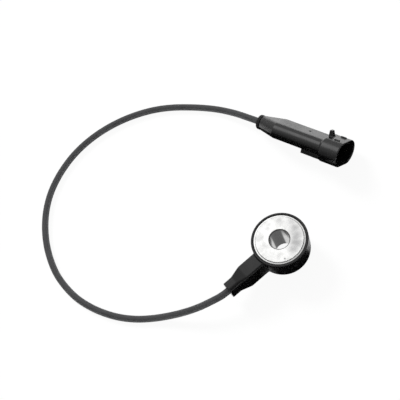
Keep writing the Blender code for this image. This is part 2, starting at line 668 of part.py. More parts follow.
def make_seal(finish, frame):
    """The rubber seal: a collar behind the shell and a ribbed body inside its bore."""
    front = -SHELL_REAR + SEAL_BODY_LENGTH
    collar_front = -SHELL_REAR - FIT_GAP
    body = SEAL_BORE - FIT_GAP
    profile = [(CABLE_BORE, front), (CABLE_BORE, -CONNECTOR_LENGTH)]
    profile += [(SEAL_COLLAR_RADIUS - SEAL_COLLAR_EDGE, -CONNECTOR_LENGTH),
                (SEAL_COLLAR_RADIUS, SEAL_COLLAR_EDGE - CONNECTOR_LENGTH),
                (SEAL_COLLAR_RADIUS, collar_front), (body, collar_front)]
    pitch = SEAL_BODY_LENGTH / (2 * SEAL_RIBS)
    for k in range(SEAL_RIBS):
        groove = -SHELL_REAR + 2 * k * pitch + pitch / 2
        profile += [(body, groove), (body - SEAL_GROOVE_DEPTH, groove + pitch / 2),
                    (body, groove + pitch)]
    profile.append((body, front))
    seal = add_object("cable_seal", turned("cable_seal", profile, SMALL_STEPS, axis="X"), finish, frame)
    seal.location.z = TAPER_END_RISE


def make_carrier(finish, frame):
    """The insulating block behind the floor, with a channel for each terminal."""
    width = BODY_WIDTH - 2 * BODY_WALL - 2 * FIT_GAP
    height = BODY_HEIGHT - 2 * BODY_WALL - 2 * FIT_GAP
    front = -CHAMBER_FRONT - FIT_GAP
    rear = front - 2 * FIT_GAP - SHOULDER_BODY_LENGTH - CRIMP_LENGTH - CARRIER_OVERHANG
    block = loft("terminal_carrier", [oval_section(rear, width, height, BODY_RISE),
                                      oval_section(front, width, height, BODY_RISE)])
    carrier = add_object("terminal_carrier", block, finish, frame)
    half = SHOULDER_SIZE / 2 + FIT_GAP
    for side in (-1, 1):
        y = side * TERMINAL_PITCH / 2
        channel = box(f"channel_{side}", (rear - CUT_MARGIN, y - half, BODY_RISE - half),
                      (front + CUT_MARGIN, y + half, BODY_RISE + half))
        combine(carrier, channel, "DIFFERENCE")


def make_terminals(finish, frame):
    """Two blade terminals: a flat blade with a bevelled tip, a square body and a crimped barrel."""
    shoulder_front = -CHAMBER_FRONT - 2 * FIT_GAP
    shoulder_rear = shoulder_front - SHOULDER_BODY_LENGTH
    barrel_rear = shoulder_rear - CRIMP_LENGTH
    barrel = CORE_RADIUS + FIT_GAP + CRIMP_WALL
    tip = -BLADE_TIP_SETBACK
    for name, side in (("signal_terminal", 1), ("ground_terminal", -1)):
        y = side * TERMINAL_PITCH / 2

        def section(x, share):
            half_y = BLADE_WIDTH / 2 * share
            half_z = BLADE_THICKNESS / 2 * share
            return [(x, y - half_y, BODY_RISE - half_z), (x, y + half_y, BODY_RISE - half_z),
                    (x, y + half_y, BODY_RISE + half_z), (x, y - half_y, BODY_RISE + half_z)]

        blade = loft(name, [section(shoulder_front - CUT_MARGIN, 1.0),
                            section(tip - BLADE_TIP_LENGTH, 1.0), section(tip, BLADE_TIP_SHARE)])
        terminal = add_object(name, blade, finish, frame)
        half = SHOULDER_SIZE / 2
        body = box("body", (shoulder_rear, y - half, BODY_RISE - half),
                   (shoulder_front, y + half, BODY_RISE + half))
        combine(terminal, body, "UNION")
        crimp = rod("crimp", barrel, (barrel_rear, y, BODY_RISE),
                    (shoulder_rear + CUT_MARGIN, y, BODY_RISE))
        combine(terminal, crimp, "UNION")
        bore = rod("bore", barrel - CRIMP_WALL, (barrel_rear - CUT_MARGIN, y, BODY_RISE),
                   (shoulder_rear, y, BODY_RISE))
        combine(terminal, bore, "DIFFERENCE")


def make_connector_cores(finishes, frame):
    """The two cores between the cable's end in the seal and the terminals' barrels."""
    cable_end = CABLE_DEPTH_IN_SEAL - CONNECTOR_LENGTH + 2 * FIT_GAP
    seal_front = -SHELL_REAR + SEAL_BODY_LENGTH
    barrel_rear = -CHAMBER_FRONT - 2 * FIT_GAP - SHOULDER_BODY_LENGTH - CRIMP_LENGTH
    carrier_rear = barrel_rear - CARRIER_OVERHANG
    core_end = barrel_rear + CRIMP_LENGTH - 2 * FIT_GAP
    names = (("signal_core_connector", 1, "white_core"), ("ground_core_connector", -1, "black_core"))
    for name, side, finish in names:
        bunched = side * CORE_SPACING / 2
        spread = side * TERMINAL_PITCH / 2
        points = core_route((cable_end, bunched, TAPER_END_RISE), (seal_front, bunched, TAPER_END_RISE),
                            (carrier_rear, spread, BODY_RISE), (core_end, spread, BODY_RISE))
        tube(name, points, CORE_RADIUS, CORE_RADIUS * 2, finishes[finish], frame)


def connector_frame():
    """An empty at the mouth's centre, turned as the connector lies; its height comes later."""
    empty = bpy.data.objects.new("connector_frame", None)
    bpy.context.scene.collection.objects.link(empty)
    turn = (Matrix.Rotation(CONNECTOR_TURN, 4, "Z") @ Matrix.Rotation(-CONNECTOR_TIP, 4, "Y")
            @ Matrix.Rotation(CONNECTOR_ROLL, 4, "X"))
    empty.matrix_world = Matrix.Translation((*MOUTH_PLACE, 0)) @ turn
    return empty


def rest_on_surface(frame, pieces):
    """Lifts the connector so that its lowest point is on the surface."""
    bpy.context.view_layer.update()
    depsgraph = bpy.context.evaluated_depsgraph_get()
    lowest = math.inf
    for piece in pieces:
        shape = piece.evaluated_get(depsgraph)
        lowest = min([lowest] + [(shape.matrix_world @ corner.co).z for corner in shape.data.vertices])
    frame.location.z -= lowest
    bpy.context.view_layer.update()


def make_cable(finish, frame):
    """The cable, from inside the neck round its loop into the connector's seal."""
    neck = BORE_X - NECK_END
    ends = [(neck + CABLE_DEPTH_IN_NECK, 0, CABLE_HEIGHT), (neck, 0, CABLE_HEIGHT)]
    seal = [frame.matrix_world @ Vector((x, 0, TAPER_END_RISE))
            for x in (-CONNECTOR_LENGTH, CABLE_DEPTH_IN_SEAL - CONNECTOR_LENGTH)]
    tube("cable", ends + CABLE_ROUTE + seal, CABLE_RADIUS, 4 * CABLE_RADIUS, finish)


def main():
    clear_scene()
    finishes = {
        "steel": material("turned_steel", (0.50, 0.50, 0.50), 0.35, 1.0),
        "zinc": material("zinc_plated_steel", (0.80, 0.80, 0.79), 0.38, 1.0),
        "spring": material("spring_steel", (0.30, 0.31, 0.33), 0.30, 1.0),
        "contact": material("tinned_bronze", (0.72, 0.66, 0.55), 0.30, 1.0),
        "ceramic": material("piezo_ceramic", (0.62, 0.56, 0.42), 0.55),
        "insulator": material("insulating_film", (0.55, 0.38, 0.16), 0.45),
        "housing": material("housing_plastic", (0.012, 0.012, 0.013), 0.42),
        "shell": material("connector_plastic", (0.016, 0.016, 0.017), 0.38),
        "block": material("carrier_plastic", (0.35, 0.35, 0.33), 0.50),
        "seal": material("seal_rubber", (0.010, 0.010, 0.011), 0.65),
        "sheath": material("cable_sheath", (0.045, 0.046, 0.049), 0.60),
        "white_core": material("white_insulation", (0.75, 0.74, 0.70), 0.45),
        "black_core": material("black_insulation", (0.02, 0.02, 0.02), 0.45),
    }
    levels = stack_levels()
    head = bpy.data.objects.new("head", None)
    bpy.context.scene.collection.objects.link(head)
    head.location.x = BORE_X
    make_sleeve(finishes["zinc"], head)
    make_housing(levels, finishes["housing"], head)
    make_stack(levels, finishes, head)
    make_head_cores(finishes, head)
    frame = connector_frame()
    shell = make_shell(finishes["shell"], frame)
    make_seal(finishes["seal"], frame)
    make_carrier(finishes["block"], frame)
    make_terminals(finishes["contact"], frame)
    make_connector_cores(finishes, frame)
    rest_on_surface(frame, [shell, bpy.data.objects["cable_seal"]])
    make_cable(finishes["sheath"], frame)


main()
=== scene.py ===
"""Engine knock sensor: fine surfaces, cable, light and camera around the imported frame.

Lengths are in millimetres, and MM turns them into Blender's metres.
"""

import itertools
import json
import math

import bmesh
import bpy
import numpy as np
from mathutils import Matrix, Vector


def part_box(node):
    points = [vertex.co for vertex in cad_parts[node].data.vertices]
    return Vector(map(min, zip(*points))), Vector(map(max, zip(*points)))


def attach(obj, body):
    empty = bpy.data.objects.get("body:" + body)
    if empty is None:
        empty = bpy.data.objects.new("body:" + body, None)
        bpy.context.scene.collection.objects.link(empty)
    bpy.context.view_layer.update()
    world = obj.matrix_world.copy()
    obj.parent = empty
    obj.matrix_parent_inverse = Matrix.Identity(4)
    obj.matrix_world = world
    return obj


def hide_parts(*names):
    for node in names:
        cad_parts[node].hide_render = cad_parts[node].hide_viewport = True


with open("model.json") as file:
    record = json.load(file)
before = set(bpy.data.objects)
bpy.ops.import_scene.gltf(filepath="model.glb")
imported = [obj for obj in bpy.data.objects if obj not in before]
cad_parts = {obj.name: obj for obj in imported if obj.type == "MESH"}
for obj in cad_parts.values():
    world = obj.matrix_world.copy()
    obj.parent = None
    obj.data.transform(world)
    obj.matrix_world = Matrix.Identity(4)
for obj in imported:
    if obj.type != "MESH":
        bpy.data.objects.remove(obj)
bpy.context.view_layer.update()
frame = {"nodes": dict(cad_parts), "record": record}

MM = 0.001


def node_box(node):
    low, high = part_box(node)
    return low / MM, high / MM


def direction(azimuth, elevation):
    """The unit vector of an aim in degrees."""
    a, e = math.radians(azimuth), math.radians(elevation)
    return Vector((math.cos(e) * math.cos(a), math.cos(e) * math.sin(a), math.sin(e)))


# Sensor head, read from the frame
sleeve_low, sleeve_high = node_box("sleeve")
housing_low, housing_high = node_box("housing")
nut_low, nut_high = node_box("ring_nut")
BORE_X = (sleeve_low.x + sleeve_high.x) / 2
FLANGE_RADIUS = (sleeve_high.x - sleeve_low.x) / 2
FACE_TOP = sleeve_high.z
RIM_RADIUS = housing_high.x - BORE_X
RIM_TOP = housing_high.z
REAR = housing_low.z
NECK_END = BORE_X - housing_low.x
NUT_RADIUS = nut_high.x - BORE_X
NUT_BOTTOM = nut_low.z
SPRING_TOP = node_box("disc_spring")[1].z
TABS_BOTTOM = node_box("rear_contact_plate")[0].z
TABS_TOP = node_box("front_contact_plate")[1].z

# Sleeve
BORE_RADIUS = 4.2
BORE_CHAMFER = 0.4
SLEEVE_RADIUS = 6.15
FACE_RADIUS = 10.2
FACE_STEP = 0.4
FACE_SLOPE = 0.2
FLANGE_THICKNESS = 1.8
GROOVE_LOW = 0.75
GROOVE_HIGH = 1.65
GROOVE_DEPTH = 0.45
EDGE_ROUND = 0.1
BORE_EDGE_ROUND = 0.12
FLANGE_ROUND = 0.2
GROOVE_ROUND = 0.05

# Housing
SEAT_GAP = 0.15
SIDE_DRAFT = 0.55
SIDE_FOOT = 3.9
REAR_CHAMFER = (2.0, 3.5)
RIM_ROUND = 0.3
REAR_ROUND = 1.0
NECK_ROOT_ROUND = 0.5
NECK_STATIONS = (NECK_END - 17.3, NECK_END - 9.2, NECK_END - 4.2, NECK_END)
NECK_HALF_WIDTHS = (3.4, 3.4, 2.6, 2.6)
NECK_LOWS = (4.0, 4.0, 5.4, 5.4)
NECK_HIGHS = (14.5, 14.5, 13.6, 13.6)
NECK_CORNERS = (0.8, 0.8, 1.6, 1.6)
NECK_END_ROUND = 0.3
CABLE_HEIGHT = 9.5
CABLE_BORE = 1.7
CHANNEL_HALF = 2.45
CHANNEL_END = 22.7
CHANNEL_OVERLAP = 1.0
STACK_SPACE = 10.3

# Connector, measured back from its mouth: along, half straight, half height and rise of each oval
CONNECTOR_TURN = math.radians(-69.7)
CONNECTOR_TIP = math.radians(4.5)
CONNECTOR_ROLL = math.radians(-47.9)
SHELL_REAR = 42.1
OVAL_STATIONS = (-SHELL_REAR, -32.9, -9.4, -8.6, 0.0)
OVAL_STRAIGHTS = (0.0, 3.8, 3.8, 3.3, 3.3)
OVAL_RADII = (3.3, 3.7, 3.7, 5.5, 5.5)
OVAL_RISES = (0.2, 0.5, 0.5, 0.0, 0.0)
SHROUD_WALL = 1.2
SHROUD_DEPTH = 8.2
BODY_WALL = 1.1
CAVITY_FLOOR = 13.0
CHAMBER_FRONT = 14.4
CHAMBER_REAR = 31.9
CHAMBER_NECK = 36.6
SEAL_BORE = 2.6
TERMINAL_PITCH = 5.2
BLADE_SLOT = (0.9, 0.55)
BLADE_SLOT_REACH = 1.0
LATCH_WIDTH = 2.2
LATCH_REAR = 9.0
LATCH_BASE = 2.4
LATCH_TOP = 1.2
LATCH_HEIGHT = 2.6
RIB_SETBACK = 2.4
RIB_LENGTH = 2.6
RIB_SPACING = 6.2
RIB_WIDTH = 0.8
RIB_HEIGHT = 0.5
RAIL_FRONT = 9.6
RAIL_LENGTH = 9.9
RAIL_WIDTH = 6.0
RAIL_THICKNESS = 2.0
RAIL_SLOT = 0.5
RAIL_WEB = 3.2
GATE_SETBACK = 18.4
GATE_RADIUS = 0.75
GATE_DEPTH = 0.4

# Roundings and fillets of the connector
OVAL_EASE = 0.25
SHELL_END_ROUND = 0.4
LATCH_ROUND = 0.2
LATCH_FILLET = 0.25
RIB_ROUND = 0.15
RIB_FILLET = 0.2
RAIL_ROUND = 0.2
HIDDEN_ROUND = 0.1
MOUTH_FLOOR_ROUND = 0.2
MOUTH_ROUND = 0.3
CHAMBER_ROUND = 0.2
SLOT_ROUND = 0.15

# Cable seal
SEAL_COLLAR_RADIUS = 3.35
SEAL_COLLAR_ROUND = 0.6
SEAL_COLLAR_FRONT_ROUND = 0.15
SEAL_BODY = 2.45
SEAL_RIBS = 3
SEAL_GROOVE = 0.25

# Cable: its route between the two straight ends, as chosen points
CABLE_RADIUS = 1.5
CABLE_DEPTH_IN_NECK = 3.0
CABLE_DEPTH_IN_SEAL = 4.8
CABLE_STEP = 1.0
CABLE_ROUTE = [
    (-24.3, 0.3, 9.4), (-28.1, 1.4, 8.9), (-34.3, 3.9, 7.4), (-40.5, 7.5, 5.4),
    (-46.5, 11.8, 3.4), (-52.3, 16.4, 2.0), (-57.7, 21.2, 1.6), (-62.5, 26.7, 1.6),
    (-66.5, 33.0, 1.6), (-69.7, 40.0, 1.6), (-71.9, 47.6, 1.6), (-72.7, 55.5, 1.6),
    (-72.3, 63.5, 1.6), (-70.4, 71.4, 1.6), (-67.4, 79.0, 1.6), (-63.4, 86.0, 1.6),
    (-58.4, 92.4, 1.6), (-52.6, 97.7, 1.6), (-46.1, 101.8, 1.6), (-39.1, 104.8, 1.6),
    (-31.7, 106.8, 1.6), (-24.2, 107.6, 1.6), (-16.6, 107.3, 1.6), (-9.2, 106.0, 1.6),
    (-2.0, 103.8, 1.6), (5.0, 100.7, 1.6), (11.5, 96.8, 1.6), (17.6, 91.9, 1.6),
    (23.1, 86.3, 1.6), (28.1, 80.4, 1.7), (32.5, 74.1, 2.0), (36.1, 66.5, 3.4),
    (38.6, 59.6, 4.7),
]

# Stains on the contact face: centre from the bore's axis, reach, and depth of grey
FACE_STAINS = [
    ((8.6, 2.2), 3.6, 0.9), ((7.6, -0.8), 4.0, 1.1), ((6.2, -3.6), 4.2, 1.2), ((3.8, -5.8), 4.0, 1.3),
    ((1.4, -7.2), 3.4, 1.2), ((4.8, 6.7), 2.2, 0.7), ((0.9, 8.0), 1.8, 0.6), ((-0.8, 6.8), 1.8, 0.6),
    ((-6.4, 2.0), 2.4, 0.6),
]

# A nick in the face: centre, reach, and radius of its core
FACE_NICK = ((-3.95, -8.1), 0.55, 0.2)

# Finish of the sleeve, with bands of reflection painted on its bore
ZINC_BRIGHT = (0.82, 0.82, 0.81)
ZINC_GREY = (0.48, 0.48, 0.48)
ZINC_DARK = (0.35, 0.35, 0.35)
CLOUD_DEPTH = 0.35
FACE_ROUGHNESS = (0.20, 0.32)
BORE_ROUGHNESS = 0.12
# Painted reflection on the bore: bright bands either side of a dark band on the wall that faces the
# camera, fading towards the face
BORE_PAINTED_BRIGHT = (0.92, 0.92, 0.91)
BORE_PAINTED_DARK = (0.10, 0.10, 0.10)
DARK_REFLECTION_AIM = 78
DARK_REFLECTION_HALF = math.radians(34.5)
DARK_REFLECTION_EDGE = math.radians(4)
REFLECTION_FADE_DEPTHS = (7.0, 1.0)
REFLECTION_FADE_LEVELS = (1.0, 0.15)

# Camera: a long lens that looks down at the loop
CAMERA_PLACE = (-44.52, -161.75, 392.01)
CAMERA_TARGET = (-2.52, 46.06, 0.0)
CAMERA_ROLL = math.radians(-30.27)
CAMERA_LENS = 90.0
CAMERA_SENSOR = 36.0
CAMERA_CLIP = (10, 10000)

# Light: aims are azimuth and elevation in degrees
SOFTBOX_AIM = (82, 57)
SOFTBOX_DISTANCE = 800
SOFTBOX_SIZE = 460
SOFTBOX_RADIANCE = 1.0
FLOOR_LAMP_AIM = (92, 40)
FLOOR_LAMP_ANGLE = math.radians(20)
FLOOR_LAMP_STRENGTH = 4.0
SKY_AIM = (70, 48)
SKY_REACH = math.radians(80)
SKY_LEVELS = (0.15, 0.6)

# Floor: its own glow to the camera, and in mirrors under the bore and elsewhere
FLOOR_HALF = 2000
GLOW_SEEN = 0.94
GLOW_IN_MIRRORS = (0.62, 0.03)

# Black cards, painted shade that only the mirrors see: one stands on two points, the others lie just
# over the floor
CARD_LIFT = 0.1
STANDING_CARD = [(27, 12), (14, 72)]
STANDING_CARD_TOP = 16
LYING_CARDS = {
    "card_by_connector": [(110, 30), (110, -30), (34, -20), (14, 58), (40, 58), (46, 52), (60, 16),
                          (66, 20)],
    "card_by_neck": [(-40, -2), (-6.3, -2), (-5.6, -5), (-4, -6.2), (-1, -7), (-1, -45), (-40, -45)],
    "card_by_head": [(-1, -7), (3, -9), (15, -8), (19.5, -11), (27, -45), (-1, -45)],
}

# Fineness of the meshes
ROUND_STEPS = 160
ARC_STEPS = 4
CELL = 0.24
ROUTE_STEPS = 12


# Shapes

def rounded(corners):
    """A closed outline from (radius, height, rounding) corners, each rounding an arc."""
    outline = []
    for k, (radius, height, rounding) in enumerate(corners):
        here = Vector((radius, height))
        if not rounding:
            outline.append(here)
            continue
        before = (Vector(corners[k - 1][:2]) - here).normalized()
        after = (Vector(corners[(k + 1) % len(corners)][:2]) - here).normalized()
        half = before.angle(after) / 2
        reach = rounding / math.tan(half)
        centre = here + (before + after).normalized() * rounding / math.sin(half)
        start = here + before * reach - centre
        end = here + after * reach - centre
        for j in range(ARC_STEPS + 1):
            outline.append(centre + start.lerp(end, j / ARC_STEPS).normalized() * rounding)
    return outline


def lathe(name, corners):
    """Spins a rounded outline about Z into a closed mesh, in metres."""
    bm = bmesh.new()
    points = [bm.verts.new((p.x * MM, 0, p.y * MM)) for p in rounded(corners)]
    edges = [bm.edges.new(pair) for pair in zip(points, points[1:] + points[:1])]
    bmesh.ops.spin(bm, geom=points + edges, cent=(0, 0, 0), axis=(0, 0, 1), angle=math.tau,
                   steps=ROUND_STEPS, use_merge=True)
    bmesh.ops.remove_doubles(bm, verts=bm.verts, dist=MM / 1000)
    bmesh.ops.recalc_face_normals(bm, faces=bm.faces)
    bm.verts.index_update()

    def order(face):
        """The face's lowest corner, then its highest: the spin's own order changes with each run."""
        numbers = [corner.index for corner in face.verts]
        return min(numbers) * len(bm.verts) + max(numbers)

    bm.faces.sort(key=order)
    mesh = bpy.data.meshes.new(name)
    bm.to_mesh(mesh)
    bm.free()
    mesh.shade_smooth()
    mesh.set_sharp_from_angle(angle=math.radians(40))
    return mesh


def join(a, b, soft):
    """The nearer of two fields, blended where they meet over about soft."""
    share = np.clip(0.5 + 0.5 * (b - a) / soft, 0, 1)
    return b + (a - b) * share - soft * share * (1 - share)


def overlap(a, b, soft):
    return -join(-a, -b, soft)


def carve(a, b, soft):
    return -join(-a, b, soft)


def eased(along, stations, values, reach=0.35):
    """Straight runs between stations with their corners softened over reach."""
    near, here, far = (np.interp(along + move, stations, values) for move in (-reach, 0, reach))
    return (near + 2 * here + far) / 4


def brick(p, low, high, corner):
    """The field of a box with round edges."""
    centre, half = (np.array(low) + high) / 2, (np.array(high) - low) / 2
    reach = np.abs(p - centre) - half + corner
    return np.linalg.norm(np.maximum(reach, 0), axis=1) + np.minimum(reach.max(axis=1), 0) - corner


def slopes(field, points, step=0.02):
    """The field's gradient at each point."""
    found = np.empty_like(points)
    for axis in range(3):
        move = np.zeros(3)
        move[axis] = step
        found[:, axis] = (field(points + move) - field(points - move)) / (2 * step)
    return found


def settle(field, points, longest):
    """Moves points onto the surface, by at most longest each."""
    slope = slopes(field, points)
    move = slope * (field(points) / np.maximum((slope ** 2).sum(axis=1), 0.05))[:, None]
    length = np.linalg.norm(move, axis=1, keepdims=True)
    return points - move * np.minimum(1, longest / np.maximum(length, 1e-9))


def sculpt(name, field, low, high):
    """A closed quad mesh of the surface where the field is zero; it is negative inside."""
    start = np.array(low) - 2 * CELL
    shape = np.ceil((np.array(high) - start) / CELL).astype(int) + 3
    grid = np.stack(np.meshgrid(*[np.arange(n) for n in shape], indexing="ij"), axis=-1).reshape(-1, 3)
    values = field(start + grid * CELL).reshape(shape)
    inside = values < 0

    def corner(array, offset):
        return array[tuple(slice(o, n - 1 + o) for o, n in zip(offset, shape))]

    offsets = list(itertools.product((0, 1), repeat=3))
    filled = sum(corner(inside, offset).astype(int) for offset in offsets)
    crossed = (filled > 0) & (filled < 8)
    number = np.full(crossed.shape, -1)
    number[crossed] = np.arange(crossed.sum())
    base = np.argwhere(crossed)
    total, hits = np.zeros(base.shape), np.zeros(len(base))
    for axis, offset in itertools.product(range(3), offsets):
        if offset[axis]:
            continue
        far = tuple(o + (k == axis) for k, o in enumerate(offset))
        a, b = corner(values, offset)[crossed], corner(values, far)[crossed]
        hit = (a < 0) != (b < 0)
        place = base + np.array(offset, float)
        place[:, axis] += np.where(hit, a / np.where(hit, a - b, 1), 0)
        total += place * hit[:, None]
        hits += hit
    points = start + CELL * total / hits[:, None]

    quads = []
    for axis in range(3):
        u, v = np.eye(3, dtype=int)[(axis + 1) % 3], np.eye(3, dtype=int)[(axis + 2) % 3]
        span = [slice(1, n - 1) for n in shape]
        span[axis] = slice(0, shape[axis] - 1)
        near = inside[tuple(span)]
        span[axis] = slice(1, shape[axis])
        far = inside[tuple(span)]
        edge = np.argwhere(near != far) + u + v
        loop = np.stack([number[tuple((edge - away).T)] for away in (u + v, v, 0 * u, u)], axis=1)
        outward = near[near != far]
        quads.append(np.where(outward[:, None], loop, loop[:, ::-1]))
    quads = np.concatenate(quads)

    links = np.concatenate([quads[:, [0, 1]], quads[:, [1, 2]], quads[:, [2, 3]], quads[:, [3, 0]]])
    links = np.concatenate([links, links[:, ::-1]])
    degree = np.bincount(links[:, 0], minlength=len(points))[:, None]
    for _ in range(3):
        total = np.stack([np.bincount(links[:, 0], column, len(points))
                          for column in points[links[:, 1]].T], axis=1)
        points = settle(field, (points + total / degree) / 2, CELL / 2)
    points = settle(field, settle(field, points, CELL / 2), CELL / 4)

    mesh = bpy.data.meshes.new(name)
    mesh.from_pydata((points * MM).tolist(), [], quads.tolist())
    mesh.shade_smooth()
    normals = slopes(field, points)
    normals /= np.linalg.norm(normals, axis=1, keepdims=True)
    mesh.normals_split_custom_set_from_vertices(normals.tolist())
    return mesh


def housing_field(p):
    """The cup with its rear chamfer, the neck, and what the sleeve, stack and cable take out."""
    x, y, z = p.T
    radius = np.hypot(x, y)
    foot = RIM_RADIUS - SIDE_DRAFT
    wall = radius - RIM_RADIUS + SIDE_DRAFT * (RIM_TOP - z) / (RIM_TOP - SIDE_FOOT)
    inward, upward = REAR_CHAMFER
    chamfer = ((radius - foot) * upward - (z - SIDE_FOOT) * inward) / math.hypot(inward, upward)
    cup = overlap(wall, chamfer, REAR_ROUND)
    cup = overlap(overlap(cup, z - RIM_TOP, RIM_ROUND), REAR - z, RIM_ROUND)

    half_width = eased(-x, NECK_STATIONS, NECK_HALF_WIDTHS)
    low, high = eased(-x, NECK_STATIONS, NECK_LOWS), eased(-x, NECK_STATIONS, NECK_HIGHS)
    corner = eased(-x, NECK_STATIONS, NECK_CORNERS)
    across = np.abs(y) - half_width + corner
    upright = np.abs(z - (low + high) / 2) - (high - low) / 2 + corner
    section = (np.hypot(np.maximum(across, 0), np.maximum(upright, 0))
               + np.minimum(np.maximum(across, upright), 0))
    neck = overlap(section - corner, -x - NECK_END, NECK_END_ROUND)
    neck = overlap(neck, x + STACK_SPACE, NECK_END_ROUND)
    body = join(cup, neck, NECK_ROOT_ROUND)

    flange_seat = FACE_TOP - FACE_STEP - FLANGE_THICKNESS - SEAT_GAP
    hollow = radius - SLEEVE_RADIUS - SEAT_GAP
    for reach, floor in ((FLANGE_RADIUS + SEAT_GAP, flange_seat), (STACK_SPACE, SPRING_TOP),
                         (NUT_RADIUS + SEAT_GAP, NUT_BOTTOM - SEAT_GAP)):
        hollow = np.minimum(hollow, np.maximum(radius - reach, floor - z))
    body = carve(body, hollow, SEAT_GAP)
    channel = brick(p, (-CHANNEL_END, -CHANNEL_HALF, TABS_BOTTOM - SEAT_GAP),
                    (-STACK_SPACE + CHANNEL_OVERLAP, CHANNEL_HALF, TABS_TOP + SEAT_GAP), SEAT_GAP)
    entry = np.maximum(np.hypot(y, z - CABLE_HEIGHT) - CABLE_BORE, x + CHANNEL_END - CHANNEL_OVERLAP)
    return carve(carve(body, channel, SEAT_GAP), entry, SEAT_GAP)


def oval_field(p, straight, radius, rise):
    """A tube along X with an oval section."""
    return np.hypot(np.maximum(np.abs(p[:, 1]) - straight, 0), p[:, 2] - rise) - radius


def shell_field(p):
    """The connector's moulding, with +X out of its mouth and +Z towards its latch."""
    x, y, z = p.T
    shape = [eased(x, OVAL_STATIONS, values, OVAL_EASE)
             for values in (OVAL_STRAIGHTS, OVAL_RADII, OVAL_RISES)]
    body = overlap(oval_field(p, *shape), x, SHELL_END_ROUND)
    body = overlap(body, -x - SHELL_REAR, SHELL_END_ROUND)

    top = OVAL_RADII[-1]
    rear = -LATCH_REAR
    lean = (x - rear - LATCH_TOP) * LATCH_HEIGHT + (z - top - LATCH_HEIGHT) * (LATCH_BASE - LATCH_TOP)
    lean /= math.hypot(LATCH_HEIGHT, LATCH_BASE - LATCH_TOP)
    latch = overlap(overlap(rear - x, lean, LATCH_ROUND), z - top - LATCH_HEIGHT, LATCH_ROUND)
    latch = overlap(latch, np.abs(y) - LATCH_WIDTH / 2, LATCH_ROUND)
    latch = overlap(latch, top - SHROUD_WALL / 2 - z, HIDDEN_ROUND)
    body = join(body, latch, LATCH_FILLET)
    for side in (-1, 1):
        middle = side * RIB_SPACING / 2
        rib = brick(p, (-RIB_SETBACK - RIB_LENGTH, middle - RIB_WIDTH / 2, top - SHROUD_WALL / 2),
                    (-RIB_SETBACK, middle + RIB_WIDTH / 2, top + RIB_HEIGHT), RIB_ROUND)
        body = join(body, rib, RIB_FILLET)

    bottom = OVAL_RISES[2] - OVAL_RADII[2]
    rail_top = bottom - RAIL_SLOT
    web = brick(p, (-RAIL_FRONT - RAIL_LENGTH, -RAIL_WEB / 2, rail_top - RAIL_SLOT),
                (-RAIL_FRONT, RAIL_WEB / 2, bottom + BODY_WALL / 2), HIDDEN_ROUND)
    rail = brick(p, (-RAIL_FRONT - RAIL_LENGTH, -RAIL_WIDTH / 2, rail_top - RAIL_THICKNESS),
                 (-RAIL_FRONT, RAIL_WIDTH / 2, rail_top), RAIL_ROUND)
    body = join(body, join(web, rail, HIDDEN_ROUND), HIDDEN_ROUND)

    rise = OVAL_RISES[2]
    mouth = np.maximum(oval_field(p, OVAL_STRAIGHTS[-1], top - SHROUD_WALL, 0), -SHROUD_DEPTH - x)
    nose = oval_field(p, OVAL_STRAIGHTS[2], OVAL_RADII[2] - BODY_WALL, rise)
    nose = np.maximum(nose, -CAVITY_FLOOR - x)
    body = carve(body, join(mouth, nose, MOUTH_FLOOR_ROUND), MOUTH_ROUND)
    stations = (-CHAMBER_NECK, -CHAMBER_REAR)
    chamber = oval_field(p, np.interp(x, stations, (0.0, OVAL_STRAIGHTS[2])), SEAL_BORE,
                         np.interp(x, stations, (OVAL_RISES[0], rise)))
    body = carve(body, np.maximum(chamber, x + CHAMBER_FRONT), CHAMBER_ROUND)
    slot_along = np.abs(x + (CAVITY_FLOOR + CHAMBER_FRONT) / 2) - BLADE_SLOT_REACH
    slot_up = np.abs(z - rise) - BLADE_SLOT[1]
    for side in (-1, 1):
        slot_across = np.abs(y - side * TERMINAL_PITCH / 2) - BLADE_SLOT[0]
        slot = np.maximum(np.maximum(slot_across, slot_up), slot_along)
        body = carve(body, slot, SLOT_ROUND)
    gate = np.hypot(np.hypot(x + GATE_SETBACK, y), z - rise - OVAL_RADII[2] - GATE_RADIUS + GATE_DEPTH)
    return carve(body, gate - GATE_RADIUS, SLOT_ROUND)


# Materials

def fill(tree, socket, value):
    """Links the socket where the value is a socket too, and sets it otherwise."""
    if isinstance(value, bpy.types.NodeSocket):
        tree.links.new(value, socket)
    else:
        socket.default_value = value


def add_node(tree, kind, settings=None, **inputs):
    """A shader node with its settings and sockets filled."""
    made = tree.nodes.new(kind)
    for key, value in (settings or {}).items():
        setattr(made, key, value)
    for key, value in inputs.items():
        fill(tree, made.inputs[key.replace("_", " ")], value)
    return made


def start_material(name, roughness, metallic=0.0, **sockets):
    """A Principled material and the object's own coordinates."""
    made = bpy.data.materials.new(name)
    made.use_nodes = True
    shader = made.node_tree.nodes["Principled BSDF"]
    shader.inputs["Roughness"].default_value = roughness
    shader.inputs["Metallic"].default_value = metallic
    for key, value in sockets.items():
        shader.inputs[key.replace("_", " ")].default_value = value
    place = add_node(made.node_tree, "ShaderNodeTexCoord").outputs["Object"]
    return made, made.node_tree, shader, place


def noise(tree, place, size, detail=3.0, roughness=0.5):
    """Noise whose features are about size millimetres wide."""
    return add_node(tree, "ShaderNodeTexNoise", Vector=place, Scale=1 / (size * MM), Detail=detail,
                    Roughness=roughness).outputs["Fac"]


def spread(tree, value, low, high, to_low=0.0, to_high=1.0):
    """The value's range from low to high, stretched to another range and held inside it."""
    return add_node(tree, "ShaderNodeMapRange", {"clamp": True}, Value=value, From_Min=low,
                    From_Max=high, To_Min=to_low, To_Max=to_high).outputs["Result"]


def combine(tree, operation, a, b):
    """One number from two, each a socket or a value."""
    made = add_node(tree, "ShaderNodeMath", {"operation": operation})
    for socket, value in zip(made.inputs, (a, b)):
        fill(tree, socket, value)
    return made.outputs[0]


